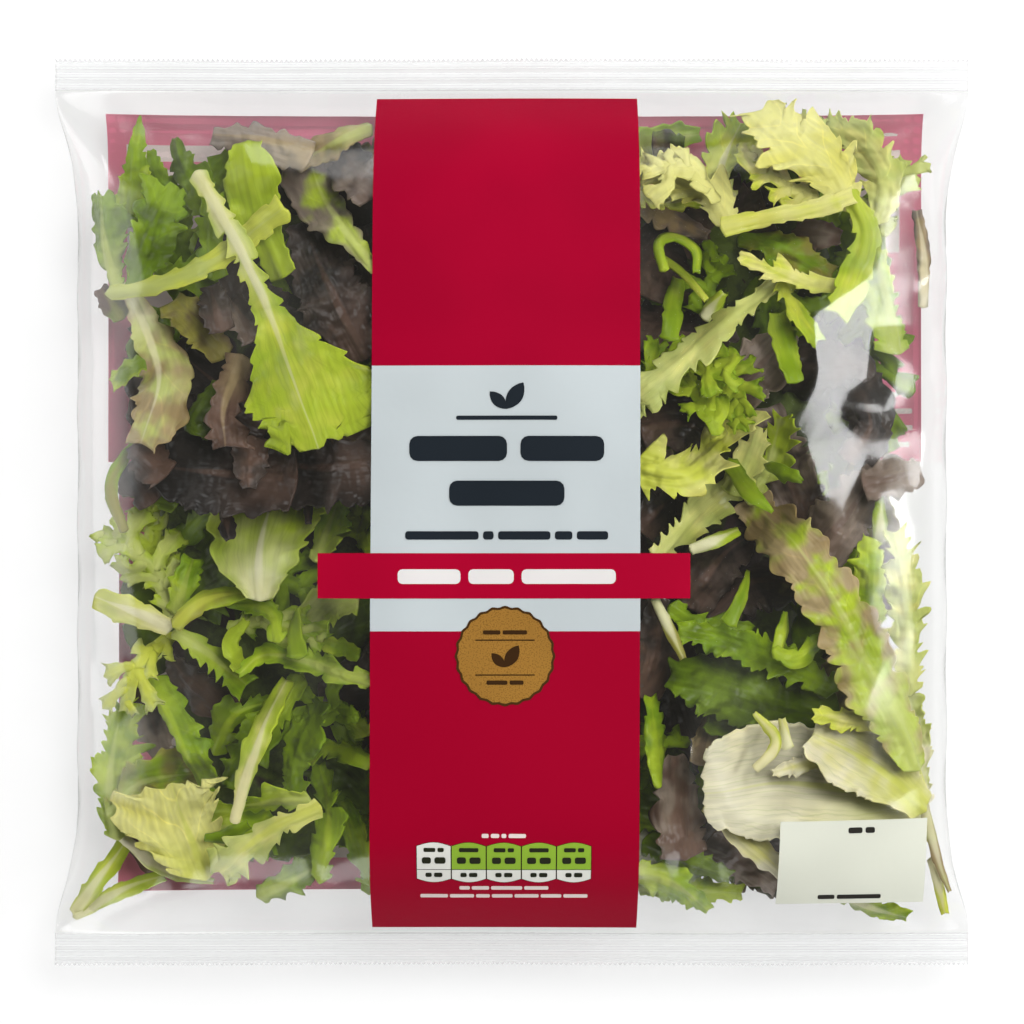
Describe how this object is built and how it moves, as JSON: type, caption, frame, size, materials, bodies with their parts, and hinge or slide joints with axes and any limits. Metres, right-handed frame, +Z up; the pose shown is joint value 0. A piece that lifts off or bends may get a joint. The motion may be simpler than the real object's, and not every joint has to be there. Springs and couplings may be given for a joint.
{
  "type": "bag of salad leaves",
  "caption": "Sealed clear pillow bag of mixed salad leaves lying on its back, with crimped end seals and a printed panel down its front.",
  "frame": {"origin": "under the middle of the bag, on the surface that it lies on", "axes": "+X across the bag along its end seals, +Y up its front towards the top seal, +Z up out of the front"},
  "size_m": [0.27, 0.268, 0.0584],
  "materials": {
    "salad_bag": "gloss"
  },
  "bodies": {
    "root": {"salad_bag": "salad_bag"}
  },
  "joints": []
}
